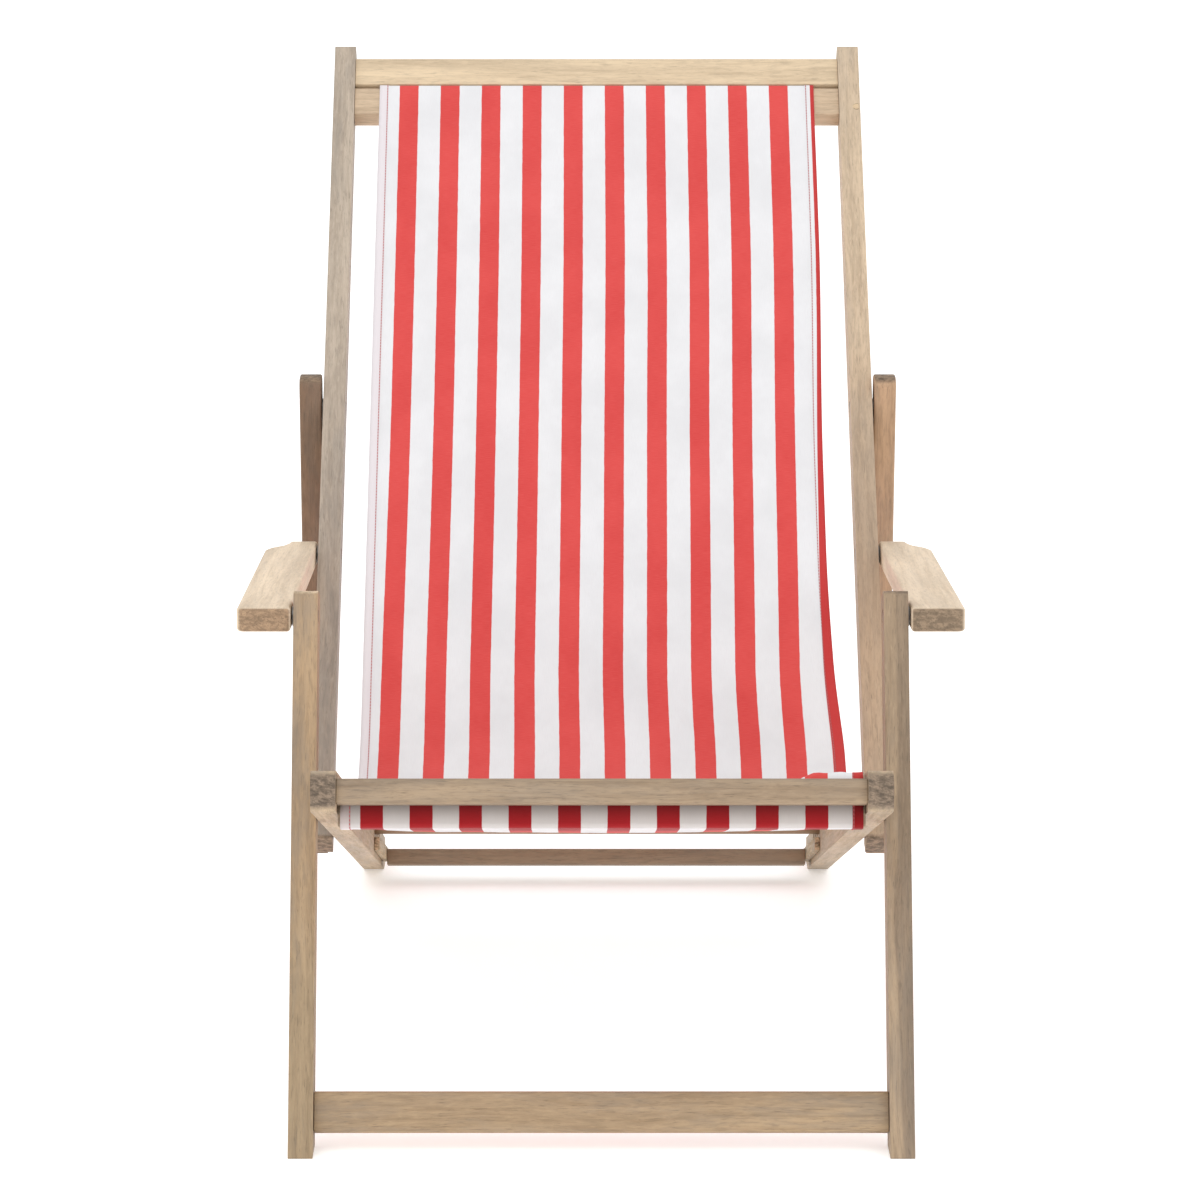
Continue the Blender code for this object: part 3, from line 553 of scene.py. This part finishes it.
def arc(center, radius, start, end, steps):
    return [Vector((center[0] + radius * math.cos(start + (end - start) * i / steps),
                    center[1] + radius * math.sin(start + (end - start) * i / steps)))
            for i in range(steps + 1)]


def rounded(corners, steps, closed=True):
    """A line through corners, each given as (a, b, radius) and rounded with that radius."""
    points = []
    count = len(corners)
    for i, (a, b, radius) in enumerate(corners):
        here = Vector((a, b))
        if radius == 0 or (not closed and i in (0, count - 1)):
            points.append(here)
            continue
        before = Vector(corners[i - 1][:2]) - here
        after = Vector(corners[(i + 1) % count][:2]) - here
        half = before.angle(after) / 2
        before.normalize()
        after.normalize()
        reach = radius / math.tan(half)
        first = here + before * reach
        last = here + after * reach
        middle = here + (before + after).normalized() * radius / math.sin(half)
        start = math.atan2(first.y - middle.y, first.x - middle.x)
        sweep = math.atan2(last.y - middle.y, last.x - middle.x) - start
        sweep = (sweep + math.pi) % math.tau - math.pi
        points.extend(arc(middle, radius, start, start + sweep, steps))
    return points


def armrest(side, sign, material):
    """The armrest's board: plan outline with its stepped rear, all edges softly rounded."""
    plan = rounded(ARM_PLAN, steps=6)
    shape = bmesh.new()
    low = [shape.verts.new((sign * p.x, p.y, -ARM_HALF)) for p in plan]
    high = [shape.verts.new((sign * p.x, p.y, ARM_HALF)) for p in plan]
    shape.faces.new(low)
    shape.faces.new(high)
    for i in range(len(plan)):
        j = (i + 1) % len(plan)
        shape.faces.new((low[i], low[j], high[j], high[i]))
    bmesh.ops.recalc_face_normals(shape, faces=shape.faces)
    turn = Matrix.Translation((0, *ARM_AT)) @ Matrix.Rotation(ARM_ANGLE, 4, "X")
    bmesh.ops.transform(shape, matrix=turn, verts=shape.verts)
    mesh = bpy.data.meshes.new("armrest_board_" + side)
    shape.to_mesh(mesh)
    shape.free()
    mesh.materials.append(material)
    obj = add_object("armrest_board_" + side, mesh)
    sand_edges(obj, ARM_EDGE, ARM_CRISP_DEGREES)
    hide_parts("armrest_" + side)
    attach(obj, "arm_" + side)


def board_plug(material, rim):
    """A wooden plug over a screw, a little proud of the board, cut off at the board's edge."""
    place = at(BACK_AT, BACK_ANGLE, *PLUG_AT)
    count = PLUG_SIDES
    verts = []
    for share, proud in PLUG_RINGS:
        for i in range(count):
            turn = math.tau * i / count
            side = at(place, BACK_ANGLE, share * PLUG_RADIUS * math.sin(turn), proud)
            across = PLUG_ACROSS + share * PLUG_RADIUS * math.cos(turn)
            verts.append((min(PLUG_LIMIT, across), side.x, side.y))
    faces = [tuple(range(count)), tuple(range(len(verts) - count, len(verts)))]
    for first in range(0, len(verts) - count, count):
        for i in range(count):
            j = (i + 1) % count
            faces.append((first + i, first + j, first + count + j, first + count + i))
    obj = mesh_object("back_board_plug", verts, faces, material)
    obj.data.materials.append(rim)
    for face in obj.data.polygons:
        if 2 <= face.index < 2 + 2 * count:
            face.material_index = 1
    shape = bmesh.new()
    shape.from_mesh(obj.data)
    bmesh.ops.recalc_face_normals(shape, faces=shape.faces)
    shape.to_mesh(obj.data)
    shape.free()
    shade_by_angle(obj, CRISP_DEGREES)
    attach(obj, "back")


# ---------------------------------------------------------------- sling
def even_steps(points, step):
    """Even steps along a path, with the length so far."""
    result = [(points[0].copy(), 0.0)]
    total = 0.0
    for here, there in zip(points, points[1:]):
        length = (there - here).length
        if length < 1e-7:
            continue
        count = max(1, round(length / step))
        for i in range(1, count + 1):
            result.append((here.lerp(there, i / count), total + length * i / count))
        total += length
    return result


def sling_route():
    """Side view of the cloth, the same path as in the part's source, and the front dowel."""
    reach = DOWEL_RADIUS + CLOTH_THICK + 2 * CLOTH_GAP
    neck = LOOP_RADIUS + 2 * CLOTH_THICK
    dowel = Vector((FRONT_LEDGE[0] + reach, FRONT_LEDGE[1] + reach))
    under = RAIL_UNDER - CLOTH_OFFSET
    face = BACK_RAIL_FACE + CLOTH_OFFSET
    behind = BACK_RAIL_REAR - math.sqrt(reach ** 2 - BACK_SLIT_HALF ** 2)
    top_dowel = Vector((BACK_SLIT, behind))

    def seat(s, w, radius):
        return (*at(SEAT_AT, SEAT_ANGLE, s, w), radius)

    def back(s, w, radius):
        return (*at(BACK_AT, BACK_ANGLE, s, w), radius)

    route = rounded([
        seat(FRONT_SLIT, dowel.y - neck, 0), seat(FRONT_SLIT, under, FRONT_SLIT_BEND),
        seat(RAIL_REAR, under, RAIL_REAR_BEND),
        (BELLY_DEPTH + SEAT_AT[0], BELLY_HEIGHT, BELLY_RADIUS),
        back(BACK_RAIL_LOW, face, BACK_RAIL_BEND), back(BACK_SLIT, face, BACK_SLIT_BEND),
        back(BACK_SLIT, top_dowel.y + neck, 0)], steps=10, closed=False)
    down, up = math.radians(-90), math.radians(90)
    first = arc(dowel, LOOP_RADIUS, down + LOOP_OPENING, down + math.tau - LOOP_OPENING,
                LOOP_STEPS)
    last = arc(top_dowel, LOOP_RADIUS, up - LOOP_OPENING, up - math.tau + LOOP_OPENING,
               LOOP_STEPS)
    front_loop = [at(SEAT_AT, SEAT_ANGLE, *p) for p in first]
    top_loop = [at(BACK_AT, BACK_ANGLE, *p) for p in reversed(last)]
    return front_loop + route + top_loop, at(SEAT_AT, SEAT_ANGLE, *dowel)


def clamped(share):
    return min(1.0, max(0.0, share))


def eased(share):
    """A share from 0 to 1 that starts and ends gently."""
    share = clamped(share)
    return share * share * (3 - 2 * share)


def ease(value, low, high):
    return eased((value - low) / (high - low))


def swell(length, start, full, fade, end):
    """1 between full and fade, 0 outside start and end."""
    return ease(length, start, full) * (1 - ease(length, fade, end))


def drawn_in(u, length):
    """The cloth's sideways pull: a waist on the right, and an edge that flares over the seat."""
    return (-WAIST * swell(length, *WAIST_SPAN) * u / CLOTH_WIDTH
            + FLARE * swell(length, *FLARE_SPAN) * ease(u, *FLARE_EDGE))


def hanging(length, total):
    """1 where the cloth hangs free, 0 in its two loops."""
    front, top = LOOSE_OVER
    return eased(clamped((length - FRONT_LOOP) / front)
                 * clamped((total - TOP_LOOP - length) / top))


def stands_off(x, length, free):
    """How far the hung cloth lies above its path: curled edges, a sagging middle and ripples."""
    side = abs(x) / (CLOTH_WIDTH / 2)
    lift = CURL * free * max(0.0, (side - CURL_FROM) / CURL_OVER) ** 2
    lift -= SAG * free * (1 - side ** 2)
    for height, waves_across, waves_along, seed in RIPPLES:
        place = Vector((x * waves_across, length * waves_along, seed))
        lift += height * free * noise.noise(place)
    return lift


def crumpled(x, length, above):
    """How far the front roll is bunched up at its right end, above its dowel."""
    crease = 1.0 + CREASE * noise.noise(
        Vector((x * CREASE_WAVES, length * CREASE_WAVES, CREASE_SEED)))
    return CRUMPLE * above * eased((x - CRUMPLE_FROM) / CRUMPLE_OVER) * crease


def cloth_columns():
    """Places across the cloth, closer together at the folded side hems."""
    inside = CLOTH_WIDTH - 2 * HEM
    return (HEM_COLUMNS + [HEM + inside * i / CLOTH_STRIPS for i in range(1, CLOTH_STRIPS)]
            + [CLOTH_WIDTH - u for u in reversed(HEM_COLUMNS)])


def stitch_tree(material):
    """Geometry nodes that lay one stitch at each step of a seam line."""
    tree = bpy.data.node_groups.new("hem_stitching", "GeometryNodeTree")
    # A modifier needs the geometry input to be the first one
    tree.interface.new_socket("Seam", in_out="INPUT", socket_type="NodeSocketGeometry")
    for name, default in (("Stitch Pitch", STITCH_PITCH), ("Stitch Length", STITCH_LENGTH),
                          ("Thread Radius", THREAD)):
        socket = tree.interface.new_socket(name, in_out="INPUT", socket_type="NodeSocketFloat")
        socket.default_value = default
    tree.interface.new_socket("Stitches", in_out="OUTPUT", socket_type="NodeSocketGeometry")
    S.tree = tree
    given = S.node("NodeGroupInput", {})
    radius = given.out("Thread Radius")
    curve = S.node("GeometryNodeMeshToCurve", {"Mesh": given.out("Seam")})
    spaced = S.node("GeometryNodeCurveToPoints",
                    {"Curve": curve, "Length": given.out("Stitch Pitch")}, "Points",
                    mode="LENGTH")
    size = combine(radius, radius, given.out("Stitch Length") * 0.5)
    bead = S.node("GeometryNodeMeshUVSphere", {"Segments": 6, "Rings": 4, "Radius": 1.0}, "Mesh")
    laid = S.node("GeometryNodeInstanceOnPoints", {
        "Points": spaced, "Instance": bead, "Rotation": spaced.out("Rotation"), "Scale": size})
    real = S.node("GeometryNodeRealizeInstances", {"Geometry": laid})
    sewn = S.node("GeometryNodeSetMaterial", {"Geometry": real, "Material": material})
    S.node("NodeGroupOutput", {"Stitches": sewn})
    return tree


def hem_stitches(seams, material):
    """The thread of the side hems, on both faces of the cloth."""
    mesh = bpy.data.meshes.new("hem_seams")
    verts, edges = [], []
    for seam in seams:
        first = len(verts)
        verts.extend(tuple(p) for p in seam)
        edges.extend((first + i, first + i + 1) for i in range(len(seam) - 1))
    mesh.from_pydata(verts, edges, [])
    obj = add_object("hem_stitches", mesh)
    sewn = obj.modifiers.new("stitches", "NODES")
    sewn.node_group = stitch_tree(material)
    apply_modifiers(obj)
    # The evaluated mesh starts with an empty material slot
    obj.data.materials.clear()
    obj.data.materials.append(material)
    obj.data.shade_smooth()
    return obj


def build_sling(material, thread_material):
    """The hung canvas with doubled side hems and their stitches, as one sheet."""
    points, dowel = sling_route()
    path = even_steps(points, CLOTH_STEP)
    total = path[-1][1]
    across = cloth_columns()
    width = len(across)
    verts, uvs, normals = [], [], []
    for i, (place, length) in enumerate(path):
        before = path[max(0, i - 1)][0]
        after = path[min(len(path) - 1, i + 1)][0]
        tangent = (after - before).normalized()
        normal = Vector((-tangent.y, tangent.x))
        normals.append(normal)
        free = hanging(length, total)
        above = max(0.0, (place - dowel).dot(SEAT_UP)) / LOOP_RADIUS
        for u in across:
            x = u - CLOTH_WIDTH / 2
            lift = stands_off(x, length, free)
            y, z = place.x + normal.x * lift, place.y + normal.y * lift
            if length < FRONT_LOOP:
                bunch = crumpled(x, length, above)
                y += SEAT_UP.x * bunch
                z += SEAT_UP.y * bunch
            verts.append((x + drawn_in(u, length), y, z))
            uvs.append((u, length))
    faces = [(a, a + 1, a + width + 1, a + width)
             for row in range(len(path) - 1)
             for a in range(row * width, row * width + width - 1)]
    obj = mesh_object("canvas_sling", verts, faces, material)
    layer = obj.data.uv_layers.new(name="Cloth")
    for loop in obj.data.loops:
        layer.data[loop.index].uv = uvs[loop.vertex_index]

    hem = obj.vertex_groups.new(name="hem")
    doubled = HEM - HEM_STEP / 2
    hem.add([i for i, (u, _) in enumerate(uvs) if min(u, CLOTH_WIDTH - u) < doubled],
            1.0, "REPLACE")
    shell = obj.modifiers.new("cloth", "SOLIDIFY")
    shell.thickness = HEM_THICK
    shell.offset = 0
    shell.vertex_group = "hem"
    shell.thickness_vertex_group = CLOTH_THICK / HEM_THICK
    apply_modifiers(obj)
    obj.vertex_groups.clear()
    obj.data.shade_smooth()

    left_seam = across.index(SEAM_IN)
    seams = [[Vector(verts[row * width + column]) + Vector((0, *normal)) * face * (HEM_THICK / 2)
              for row, normal in enumerate(normals)]
             for column in (left_seam, width - 1 - left_seam) for face in (1, -1)]
    stitches = hem_stitches(seams, thread_material)
    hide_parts("sling")
    for piece in (obj, stitches):
        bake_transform(piece)


# ---------------------------------------------------------------- the chair
SEATWOOD = wood("seat_rail_wood", (184, 163, 136), SEAT_ANGLE, SEAT_AT, weather=0.3, seed=1.3,
                end_color=(126, 109, 92))
SEATCROSS = wood("seat_cross_wood", (160, 139, 115), SEAT_ANGLE, SEAT_AT, axis="x", weather=0.3,
                 seed=2.9)
REARCROSS = wood("rear_cross_wood", (148, 126, 103), SEAT_ANGLE, SEAT_AT, axis="x", weather=0.3,
                 seed=3.7)
RACKWOOD = wood("rack_wood", (184, 164, 132), SEAT_ANGLE, SEAT_AT, weather=0.5, seed=4.4,
                contrast=1.6, end_color=(176, 156, 126))
LEG_LEFT = wood("leg_left_wood", (174, 147, 115), LEG_ANGLE, LEG_AT, weather=0.45, seed=5.1,
                gradient=(0.02, -0.22, (0.84, 0.90, 0.94)), end_color=(196, 174, 146))
LEG_RIGHT = wood("leg_right_wood", (169, 147, 121), LEG_ANGLE, LEG_AT, weather=0.35, seed=5.9,
                 sideways=(0.2625, 0.2665, (0.68, 0.68, 0.70)), end_color=(138, 118, 98))
STRETCHER = wood("stretcher_wood", (171, 147, 117), LEG_ANGLE, LEG_AT, axis="x", weather=0.4,
                 seed=6.6)
BACK_LEFT = wood("back_left_wood", (183, 169, 153), BACK_ANGLE, BACK_AT, weather=0.5, seed=7.2,
                 gradient=(0.55, 0.30, (0.86, 0.85, 0.86)))
BACK_RIGHT = wood("back_right_wood", (204, 183, 157), BACK_ANGLE, BACK_AT, weather=0.25, seed=7.9,
                  gradient=(0.70, 0.30, (0.80, 0.75, 0.72)))
HEADWOOD = wood("head_wood", (214, 193, 163), BACK_ANGLE, BACK_AT, axis="x", seed=8.8,
                contrast=0.7)
SLINGWOOD = wood("back_cross_wood", (203, 180, 153), BACK_ANGLE, BACK_AT, axis="x", seed=8.1,
                 contrast=0.8)
PROP_LEFT = wood("prop_left_wood", (133, 106, 84), PROP_ANGLE, PROP_AT, weather=0.3, seed=9.5)
PROP_RIGHT = wood("prop_right_wood", (182, 150, 120), PROP_ANGLE, PROP_AT, weather=0.2, seed=9.9)
BARWOOD = wood("crossbar_wood", (150, 124, 98), PROP_ANGLE, PROP_AT, axis="x", seed=10.1)
ARM_LEFT = wood("arm_left_wood", (226, 207, 182), ARM_ANGLE, ARM_AT, seed=11.4, contrast=0.6,
                end_color=(162, 134, 106))
ARM_RIGHT = wood("arm_right_wood", (226, 207, 182), ARM_ANGLE, ARM_AT, seed=11.9, contrast=0.6,
                 end_color=(140, 120, 98))
DOWELWOOD = wood("dowel_wood", (206, 182, 150), SEAT_ANGLE, SEAT_AT, axis="x", seed=12.0)
METAL = steel()
CANVAS = canvas()
THREADWORK = thread()

for side, sign, leg, back, prop, arm in (
        ("left", -1, LEG_LEFT, BACK_LEFT, PROP_LEFT, ARM_LEFT),
        ("right", 1, LEG_RIGHT, BACK_RIGHT, PROP_RIGHT, ARM_RIGHT)):
    shaped("seat_side_rail_" + side, SEATWOOD, "seat_rail_" + side, LONG_EDGE)
    shaped("rack_wear_strip_" + side, RACKWOOD, "rack_strip_" + side, STRIP_EDGE)
    shaped("leg_board_" + side, leg, "front_leg_" + side, LONG_EDGE)
    shaped("back_board_" + side, back, "back_rail_" + side, LONG_EDGE)
    shaped("prop_board_" + side, prop, "prop_leg_" + side, LONG_EDGE)
    armrest(side, sign, arm)
for name, material, node in (
        ("front_seat_board", SEATCROSS, "seat_front_rail"),
        ("sling_seat_board", SEATCROSS, "seat_sling_rail"),
        ("rear_seat_board", REARCROSS, "seat_rear_stretcher"),
        ("leg_stretcher_board", STRETCHER, "front_stretcher"),
        ("head_board", HEADWOOD, "head_rail"),
        ("sling_back_board", SLINGWOOD, "back_sling_rail"),
        ("prop_bar", BARWOOD, "prop_crossbar")):
    shaped(name, material, node, CROSS_EDGE)
# What nothing has replaced by now: the dowels, bolts and washers
for name, node in NODES.items():
    if node.hide_render or name == "sling":
        continue
    node.data.materials.clear()
    node.data.materials.append(DOWELWOOD if "dowel" in name else METAL)
board_plug(DOWELWOOD, RACKWOOD)
build_sling(CANVAS, THREADWORK)


# ---------------------------------------------------------------- floor, light, camera
def area_light(name, place, target, size, power):
    light = bpy.data.lights.new(name, "AREA")
    light.shape = "RECTANGLE"
    light.size, light.size_y = size
    light.energy = power
    obj = add_object(name, light)
    obj.location = place
    obj.rotation_euler = (Vector(target) - Vector(place)).to_track_quat("-Z", "Y").to_euler()


floor = mesh_object("floor", [(-12, -8, -0.0005), (12, -8, -0.0005), (12, 22, -0.0005),
                              (-12, 22, -0.0005)], [(0, 1, 2, 3)], floor_paint())
area_light("key", (-0.9, -2.6, 3.4), (0, 0, 0.4), (2.4, 1.8), 26)
area_light("fill", (2.4, -2.4, 1.8), (0, 0, 0.4), (2.0, 1.6), 8)

scene = bpy.context.scene
world = bpy.data.worlds.new("studio")
world.use_nodes = True
backdrop = world.node_tree.nodes["Background"]
backdrop.inputs["Color"].default_value = (1.0, 1.0, 1.0, 1.0)
backdrop.inputs["Strength"].default_value = 1.0
scene.world = world

camera = bpy.data.cameras.new("camera")
camera.sensor_width = SENSOR
camera.lens = FOCAL_PIXELS / PHOTO_WIDTH * SENSOR
camera.shift_x = SHIFT_PIXELS / PHOTO_WIDTH
camera.clip_end = 60.0
view = add_object("camera", camera)
view.location = CAMERA_AT
view.rotation_euler = (math.radians(90.0 - CAMERA_DOWN), 0, 0)
scene.camera = view
scene.view_settings.view_transform = "Standard"
